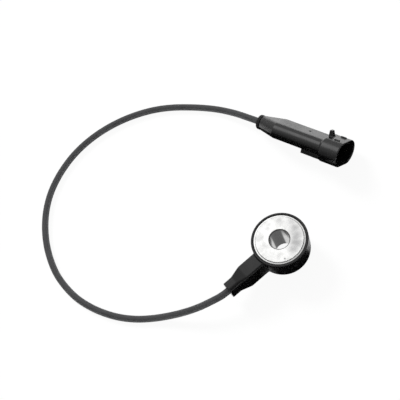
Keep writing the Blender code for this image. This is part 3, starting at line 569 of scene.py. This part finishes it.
def vector_math(tree, operation, *values):
    """A vector node that works on sockets or vectors."""
    made = add_node(tree, "ShaderNodeVectorMath", {"operation": operation})
    for socket, value in zip(made.inputs, values):
        fill(tree, socket, value)
    return made


def blend(tree, share, a, b):
    """A colour between a and b."""
    made = add_node(tree, "ShaderNodeMix", {"data_type": "RGBA"})
    fill(tree, made.inputs[0], share)
    for socket, value in zip(made.inputs[6:8], (a, b)):
        fill(tree, socket, (*value, 1.0) if isinstance(value, tuple) else value)
    return made.outputs[2]


def blend_numbers(tree, share, a, b):
    """A number between a and b."""
    made = add_node(tree, "ShaderNodeMix", {"data_type": "FLOAT"})
    for socket, value in zip(made.inputs[0:1] + made.inputs[2:4], (share, a, b)):
        fill(tree, socket, value)
    return made.outputs[0]


def relief(tree, shader, layers):
    """Bumps from (height, depth in millimetres) layers, one upon the other."""
    normal = None
    for height, depth in layers:
        bump = add_node(tree, "ShaderNodeBump", Height=height, Distance=depth * MM, Strength=1.0)
        if normal:
            tree.links.new(normal, bump.inputs["Normal"])
        normal = bump.outputs["Normal"]
    tree.links.new(normal, shader.inputs["Normal"])


def moulded(name, color, roughness, grain, depth, shine=0.5):
    """Moulded plastic or rubber: a fine grain, and soft flow marks that are a little paler."""
    made, tree, shader, place = start_material(name, roughness, Specular_IOR_Level=shine)
    fine = noise(tree, place, grain, 4.0, 0.6)
    flow = noise(tree, place, 6.0, 2.0)
    pale = tuple(min(1.0, c * 1.5) for c in color)
    fill(tree, shader.inputs["Base Color"], blend(tree, spread(tree, flow, 0.2, 0.8), color, pale))
    fill(tree, shader.inputs["Roughness"],
         spread(tree, flow, 0.3, 0.7, roughness - 0.06, roughness + 0.06))
    relief(tree, shader, [(flow, depth * 2), (fine, depth)])
    return made


def metal(name, color, roughness):
    """Machined or stamped metal with faint stains and fine grain."""
    made, tree, shader, place = start_material(name, roughness, 1.0)
    stain = noise(tree, place, 3.0, 4.0, 0.6)
    fine = noise(tree, place, 0.25, 3.0)
    darker = tuple(c * 0.8 for c in color)
    fill(tree, shader.inputs["Base Color"], blend(tree, spread(tree, stain, 0.4, 0.65), color, darker))
    fill(tree, shader.inputs["Roughness"],
         spread(tree, stain, 0.3, 0.7, roughness - 0.05, roughness + 0.1))
    relief(tree, shader, [(fine, 0.004)])
    return made


def axis_distance(tree, place):
    """The distance from the bore's axis."""
    flat = vector_math(tree, "MULTIPLY_ADD", place, (1, 1, 0), (-BORE_X * MM, 0, 0))
    return vector_math(tree, "LENGTH", flat.outputs[0]).outputs["Value"]


def bore_painted_reflection(tree, place):
    """Painted reflection on the bore: one on the bright bands, nothing on the dark band between, which
    faces the camera; the bright bands fade towards the face.
    """
    outward = vector_math(tree, "SUBTRACT", place, (BORE_X * MM, 0, 0))
    aim = direction(DARK_REFLECTION_AIM, 0) / (BORE_RADIUS * MM)
    towards_band = vector_math(tree, "DOT_PRODUCT", outward.outputs[0], aim).outputs["Value"]
    sides = spread(tree, towards_band, math.cos(DARK_REFLECTION_HALF + DARK_REFLECTION_EDGE),
                   math.cos(DARK_REFLECTION_HALF - DARK_REFLECTION_EDGE), 1.0, 0.0)
    height = add_node(tree, "ShaderNodeSeparateXYZ", Vector=place).outputs["Z"]
    fade_upward = spread(tree, height, *((FACE_TOP - depth) * MM for depth in REFLECTION_FADE_DEPTHS),
                  *REFLECTION_FADE_LEVELS)
    return combine(tree, "MULTIPLY", sides, fade_upward)


def blob(tree, place, centre, reach, core=0.0):
    """One at centre (millimetres from the middle of the contact face), falling to nothing at reach."""
    middle = Vector((BORE_X + centre[0], centre[1], FACE_TOP)) * MM
    gap = vector_math(tree, "DISTANCE", place, middle).outputs["Value"]
    return spread(tree, gap, core * MM, reach * MM, 1.0, 0.0)


def stirred(tree, place, size, reach):
    """The place, moved about by noise, so that marks get ragged edges."""
    waves = add_node(tree, "ShaderNodeTexNoise", Vector=place, Scale=1 / (size * MM), Detail=3.0)
    centred = vector_math(tree, "SUBTRACT", waves.outputs["Color"], (0.5, 0.5, 0.5))
    return vector_math(tree, "MULTIPLY_ADD", centred.outputs[0], (reach * MM,) * 3, place).outputs[0]


def zinc_plate(name):
    """The bright plated sleeve: a silver face with grey blotches and one nick, and a smooth bore with
    bands of reflection painted on it.
    """
    made, tree, shader, place = start_material(name, 0.35, 1.0)
    blotch = noise(tree, place, 4.0, 5.0, 0.6)
    speck = noise(tree, place, 0.9, 3.0, 0.6)
    fine = noise(tree, place, 0.2, 3.0)
    ragged = stirred(tree, place, 2.5, 3.0)
    stain = 0.0
    for centre, reach, depth in FACE_STAINS:
        mark = combine(tree, "MULTIPLY", blob(tree, ragged, centre, reach), depth)
        stain = combine(tree, "MAXIMUM", stain, mark)
    cloud = combine(tree, "MULTIPLY", spread(tree, blotch, 0.42, 0.7), CLOUD_DEPTH)
    ground = blend(tree, combine(tree, "MAXIMUM", stain, cloud), ZINC_BRIGHT, ZINC_GREY)
    face = blend(tree, blob(tree, place, *FACE_NICK), ground, ZINC_DARK)
    # The bore's colour is painted reflection: a dark band between bright bands
    wall = blend(tree, bore_painted_reflection(tree, place), BORE_PAINTED_DARK, BORE_PAINTED_BRIGHT)
    in_bore = spread(tree, axis_distance(tree, place), (BORE_RADIUS + 0.1) * MM,
                     (BORE_RADIUS + 0.3) * MM, 1.0, 0.0)
    fill(tree, shader.inputs["Base Color"], blend(tree, in_bore, face, wall))
    face_roughness = spread(tree, blotch, 0.35, 0.7, *FACE_ROUGHNESS)
    fill(tree, shader.inputs["Roughness"],
         blend_numbers(tree, in_bore, face_roughness, BORE_ROUGHNESS))
    relief(tree, shader, [(blotch, 0.02), (speck, 0.004), (fine, 0.0015)])
    return made


def make_finishes():
    """A material for each slot of the record: colour, roughness, then grain size and depth."""
    return {
        "zinc_plated_steel": zinc_plate("zinc_plated_steel"),
        "turned_steel": metal("turned_steel", (0.50, 0.50, 0.50), 0.35),
        "spring_steel": metal("spring_steel", (0.22, 0.24, 0.28), 0.30),
        "tinned_bronze": metal("tinned_bronze", (0.72, 0.66, 0.55), 0.30),
        "piezo_ceramic": moulded("piezo_ceramic", (0.55, 0.50, 0.38), 0.60, 0.10, 0.003),
        "insulating_film": moulded("insulating_film", (0.50, 0.30, 0.10), 0.40, 0.30, 0.002),
        "housing_plastic": moulded("housing_plastic", (0.006, 0.006, 0.0063), 0.30, 0.22, 0.004),
        "connector_plastic": moulded("connector_plastic", (0.006, 0.006, 0.0063), 0.26, 0.18, 0.004,
                                     shine=1.0),
        "carrier_plastic": moulded("carrier_plastic", (0.30, 0.30, 0.28), 0.50, 0.20, 0.004),
        "seal_rubber": moulded("seal_rubber", (0.012, 0.012, 0.0125), 0.60, 0.25, 0.004),
        "cable_sheath": moulded("cable_sheath", (0.095, 0.096, 0.100), 0.55, 0.30, 0.006),
        "white_insulation": moulded("white_insulation", (0.70, 0.69, 0.65), 0.45, 0.30, 0.002),
        "black_insulation": moulded("black_insulation", (0.015, 0.015, 0.015), 0.45, 0.30, 0.002),
    }


# Pieces

def add_piece(name, data, slot, finishes, node, placement=None):
    """Puts a piece on the frame in place of its CAD node."""
    if placement:
        data.transform(placement)
    piece = bpy.data.objects.new(name, data)
    bpy.context.scene.collection.objects.link(piece)
    data.materials.append(finishes[slot])
    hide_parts(node)
    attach(piece, "root")
    return piece


def make_sleeve(finishes, head):
    under = FACE_TOP - FACE_STEP - FLANGE_THICKNESS
    corners = [
        (BORE_RADIUS, BORE_CHAMFER, EDGE_ROUND),
        (BORE_RADIUS, FACE_TOP - BORE_CHAMFER, BORE_EDGE_ROUND),
        (BORE_RADIUS + BORE_CHAMFER, FACE_TOP, BORE_EDGE_ROUND),
        (FACE_RADIUS - FACE_SLOPE / 2, FACE_TOP, EDGE_ROUND),
        (FACE_RADIUS + FACE_SLOPE / 2, FACE_TOP - FACE_STEP, EDGE_ROUND),
        (FLANGE_RADIUS, FACE_TOP - FACE_STEP, FLANGE_ROUND),
        (FLANGE_RADIUS, under, EDGE_ROUND),
        (SLEEVE_RADIUS, under, EDGE_ROUND),
        (SLEEVE_RADIUS, GROOVE_HIGH, GROOVE_ROUND),
        (SLEEVE_RADIUS - GROOVE_DEPTH, GROOVE_HIGH, GROOVE_ROUND),
        (SLEEVE_RADIUS - GROOVE_DEPTH, GROOVE_LOW, GROOVE_ROUND),
        (SLEEVE_RADIUS, GROOVE_LOW, GROOVE_ROUND),
        (SLEEVE_RADIUS, 0, FLANGE_ROUND),
        (BORE_RADIUS + BORE_CHAMFER, 0, BORE_EDGE_ROUND),
    ]
    piece = add_piece("sleeve_surface", lathe("sleeve_surface", corners), "zinc_plated_steel", finishes,
                      "sleeve", head)
    piece.modifiers.new("flat_faces", "WEIGHTED_NORMAL").keep_sharp = True


def make_housing(finishes, head):
    low = (-NECK_END, -RIM_RADIUS, REAR)
    high = (RIM_RADIUS, RIM_RADIUS, RIM_TOP)
    add_piece("housing_surface", sculpt("housing_surface", housing_field, low, high), "housing_plastic",
              finishes, "housing", head)


def connector_placement():
    """The connector's place: the middle of the shell's rim in the frame, turned as it lies."""
    turn = (Matrix.Rotation(CONNECTOR_TURN, 4, "Z") @ Matrix.Rotation(-CONNECTOR_TIP, 4, "Y")
            @ Matrix.Rotation(CONNECTOR_ROLL, 4, "X"))
    outward = turn @ Vector((1, 0, 0))
    points = [corner.co for corner in frame["nodes"]["connector_shell"].data.vertices]
    front = max(point.dot(outward) for point in points)
    rim = [point for point in points if point.dot(outward) > front - 0.01 * MM]
    sides = list(zip(*(turn.inverted() @ point for point in rim)))
    middle = Vector([(min(side) + max(side)) / 2 for side in sides])
    return Matrix.Translation(turn @ middle) @ turn


def make_shell(finishes, placement):
    half_width = OVAL_STRAIGHTS[-1] + OVAL_RADII[-1]
    lowest = OVAL_RISES[2] - OVAL_RADII[2] - RAIL_SLOT - RAIL_THICKNESS
    low = (-SHELL_REAR, -half_width, lowest)
    high = (0, half_width, OVAL_RADII[-1] + LATCH_HEIGHT)
    return add_piece("shell_surface", sculpt("shell_surface", shell_field, low, high),
                     "connector_plastic", finishes, "connector_shell", placement)


def seal_ends(placement):
    """How far back the seal's front and rear ends lie, from the frame."""
    corners = frame["nodes"]["cable_seal"].data.vertices
    along = [(placement.inverted() @ corner.co).x for corner in corners]
    return min(along) / MM, max(along) / MM


def make_seal(finishes, placement):
    rear, front = seal_ends(placement)
    collar_front = -SHELL_REAR - SEAT_GAP
    corners = [
        (CABLE_BORE, front, EDGE_ROUND),
        (CABLE_BORE, rear, EDGE_ROUND),
        (SEAL_COLLAR_RADIUS, rear, SEAL_COLLAR_ROUND),
        (SEAL_COLLAR_RADIUS, collar_front, SEAL_COLLAR_FRONT_ROUND),
        (SEAL_BODY, collar_front, EDGE_ROUND),
    ]
    pitch = (front - collar_front) / (2 * SEAL_RIBS)
    for k in range(SEAL_RIBS):
        groove = collar_front + (2 * k + 0.5) * pitch
        corners += [(SEAL_BODY, groove, EDGE_ROUND),
                    (SEAL_BODY - SEAL_GROOVE, groove + pitch / 2, EDGE_ROUND),
                    (SEAL_BODY, groove + pitch, EDGE_ROUND)]
    corners.append((SEAL_BODY, front, EDGE_ROUND))
    rise = Matrix.Translation((0, 0, OVAL_RISES[0] * MM))
    axis = placement @ rise @ Matrix.Rotation(math.pi / 2, 4, "Y")
    return add_piece("seal_surface", lathe("seal_surface", corners), "seal_rubber", finishes,
                     "cable_seal", axis)


def smooth_route(points):
    """A Catmull-Rom curve through the points."""
    points = [Vector(point) for point in points]
    points = [2 * points[0] - points[1]] + points + [2 * points[-1] - points[-2]]
    curve = []
    for before, start, end, after in zip(points, points[1:], points[2:], points[3:]):
        for t in np.arange(0, 1, 1 / ROUTE_STEPS):
            curve.append(0.5 * (2 * start + (end - before) * t
                                + (2 * before - 5 * start + 4 * end - after) * t ** 2
                                + (3 * start - before - 3 * end + after) * t ** 3))
    return np.array(curve + [points[-2]])


def make_cable(finishes, placement):
    """The cable along its route, from inside the neck to inside the seal, in even steps."""
    rear = seal_ends(placement)[0]
    exit_point = Vector((BORE_X - NECK_END, 0, CABLE_HEIGHT))
    start = exit_point + Vector((CABLE_DEPTH_IN_NECK, 0, 0))
    ends = [placement @ Vector((x * MM, 0, OVAL_RISES[0] * MM)) / MM
            for x in (rear, rear + CABLE_DEPTH_IN_SEAL)]
    curve = smooth_route([start, exit_point] + CABLE_ROUTE + ends)
    along = np.concatenate([[0], np.cumsum(np.linalg.norm(np.diff(curve, axis=0), axis=1))])
    length = along[-1]
    places = np.linspace(0, length, round(length / CABLE_STEP) + 1)
    line = np.stack([np.interp(places, along, curve[:, k]) for k in range(3)], axis=1)
    data = bpy.data.curves.new("cable_surface", "CURVE")
    data.dimensions = "3D"
    data.bevel_depth = CABLE_RADIUS * MM
    data.bevel_resolution = 6
    data.use_fill_caps = True
    spline = data.splines.new("POLY")
    spline.points.add(len(line) - 1)
    for point, place in zip(spline.points, line * MM):
        point.co = (*place, 1.0)
    spline.use_smooth = True
    piece = add_piece("cable_surface", data, "cable_sheath", finishes, "cable")


# Floor, light and camera

def add_sheet(name, corners):
    """A flat sheet of the stage with the given corners, in metres."""
    mesh = bpy.data.meshes.new(name)
    mesh.from_pydata(corners, [], [range(len(corners))])
    sheet = bpy.data.objects.new(name, mesh)
    bpy.context.scene.collection.objects.link(sheet)
    return sheet


def make_floor():
    """A wide white floor: white to the camera, in the bore's wall too, with a faint shadow."""
    half = FLOOR_HALF * MM
    corners = [(-half, -half, 0), (half, -half, 0), (half, half, 0), (-half, half, 0)]
    floor = add_sheet("floor", corners)
    made = bpy.data.materials.new("floor_paper")
    made.use_nodes = True
    tree = made.node_tree
    tree.nodes.clear()
    paper = add_node(tree, "ShaderNodeBsdfDiffuse", Color=(0.92, 0.92, 0.92, 1.0))
    white = add_node(tree, "ShaderNodeEmission", Color=(1.0, 1.0, 1.0, 1.0), Strength=1.0)
    rays = add_node(tree, "ShaderNodeLightPath")
    place = add_node(tree, "ShaderNodeTexCoord").outputs["Object"]
    under_bore = spread(tree, axis_distance(tree, place), BORE_RADIUS * MM, (BORE_RADIUS + 0.1) * MM,
                        *GLOW_IN_MIRRORS)
    mirrored = combine(tree, "MAXIMUM", rays.outputs["Is Glossy Ray"],
                       rays.outputs["Is Transmission Ray"])
    seen = combine(tree, "MULTIPLY", rays.outputs["Is Camera Ray"], GLOW_SEEN)
    share = combine(tree, "MAXIMUM", seen, combine(tree, "MULTIPLY", mirrored, under_bore))
    mix = add_node(tree, "ShaderNodeMixShader", Fac=share)
    tree.links.new(paper.outputs[0], mix.inputs[1])
    tree.links.new(white.outputs[0], mix.inputs[2])
    add_node(tree, "ShaderNodeOutputMaterial", Surface=mix.outputs[0])
    floor.data.materials.append(made)
    return floor


def add_lamp(name, data, aim, distance=1000):
    """A lamp in the aim's direction that points at the middle of the loop."""
    lamp = bpy.data.objects.new(name, data)
    bpy.context.scene.collection.objects.link(lamp)
    lamp.location = (Vector(CAMERA_TARGET) + direction(*aim) * distance) * MM
    lamp.rotation_euler = direction(*aim).to_track_quat("Z", "Y").to_euler()
    return lamp


def make_lamps(floor):
    """A softbox behind the sensor, and a lamp for the floor alone that keeps it white."""
    softbox = bpy.data.lights.new("softbox", "AREA")
    softbox.size = SOFTBOX_SIZE * MM
    softbox.energy = SOFTBOX_RADIANCE * math.pi * softbox.size ** 2
    add_lamp("softbox", softbox, SOFTBOX_AIM, SOFTBOX_DISTANCE)
    sun = bpy.data.lights.new("floor_lamp", "SUN")
    sun.energy = FLOOR_LAMP_STRENGTH
    sun.angle = FLOOR_LAMP_ANGLE
    only_floor = bpy.data.collections.new("lit_by_floor_lamp")
    only_floor.objects.link(floor)
    add_lamp("floor_lamp", sun, FLOOR_LAMP_AIM).light_linking.receiver_collection = only_floor


def make_painted_shade_cards():
    """Black cards that only the gloss sees, on the camera's side of the black mouldings: painted shade
    in their reflections.
    """
    black = bpy.data.materials.new("painted_shade_card")
    black.use_nodes = True
    shader = black.node_tree.nodes["Principled BSDF"]
    shader.inputs["Base Color"].default_value = (0.0, 0.0, 0.0, 1.0)
    shader.inputs["Specular IOR Level"].default_value = 0.0
    near, far = STANDING_CARD
    cards = {"standing_card": [(*near, CARD_LIFT), (*far, CARD_LIFT), (*far, STANDING_CARD_TOP),
                               (*near, STANDING_CARD_TOP)]}
    for name, corners in LYING_CARDS.items():
        cards[name] = [(*corner, CARD_LIFT) for corner in corners]
    for name, corners in cards.items():
        card = add_sheet(name, [Vector(corner) * MM for corner in corners])
        card.data.materials.append(black)
        card.visible_camera = False
        card.visible_diffuse = False
        card.visible_shadow = False
        card.visible_transmission = False


def make_world():
    """A studio that is pale behind the softbox and dim all round."""
    world = bpy.data.worlds.new("studio")
    bpy.context.scene.world = world
    world.use_nodes = True
    tree = world.node_tree
    tree.nodes.clear()
    place = add_node(tree, "ShaderNodeTexCoord").outputs["Generated"]
    towards = vector_math(tree, "DOT_PRODUCT", place, direction(*SKY_AIM)).outputs["Value"]
    level = spread(tree, towards, math.cos(SKY_REACH), 1.0, *SKY_LEVELS)
    sky = add_node(tree, "ShaderNodeBackground", Color=(1.0, 1.0, 1.0, 1.0), Strength=level)
    add_node(tree, "ShaderNodeOutputWorld", Surface=sky.outputs[0])


def make_camera():
    data = bpy.data.cameras.new("camera")
    data.lens = CAMERA_LENS
    data.sensor_width = CAMERA_SENSOR
    data.clip_start = CAMERA_CLIP[0] * MM
    data.clip_end = CAMERA_CLIP[1] * MM
    camera = bpy.data.objects.new("camera", data)
    bpy.context.scene.collection.objects.link(camera)
    place, target = Vector(CAMERA_PLACE) * MM, Vector(CAMERA_TARGET) * MM
    aim = (place - target).to_track_quat("Z", "Y").to_matrix().to_4x4()
    camera.matrix_world = Matrix.Translation(place) @ aim @ Matrix.Rotation(CAMERA_ROLL, 4, "Z")
    bpy.context.scene.camera = camera


def main():
    finishes = make_finishes()
    for item in frame["record"]["subparts"]:
        materials = frame["nodes"][item["node"]].data.materials
        materials.clear()
        materials.append(finishes[item["material_slot"]])
    make_camera()
    placement = connector_placement()
    shell = make_shell(finishes, placement)
    seal = make_seal(finishes, placement)
    make_cable(finishes, placement)
    head = Matrix.Translation((BORE_X * MM, 0, 0))
    make_sleeve(finishes, head)
    make_housing(finishes, head)
    make_lamps(make_floor())
    make_painted_shade_cards()
    make_world()
    bpy.context.scene.view_settings.view_transform = "Standard"


main()
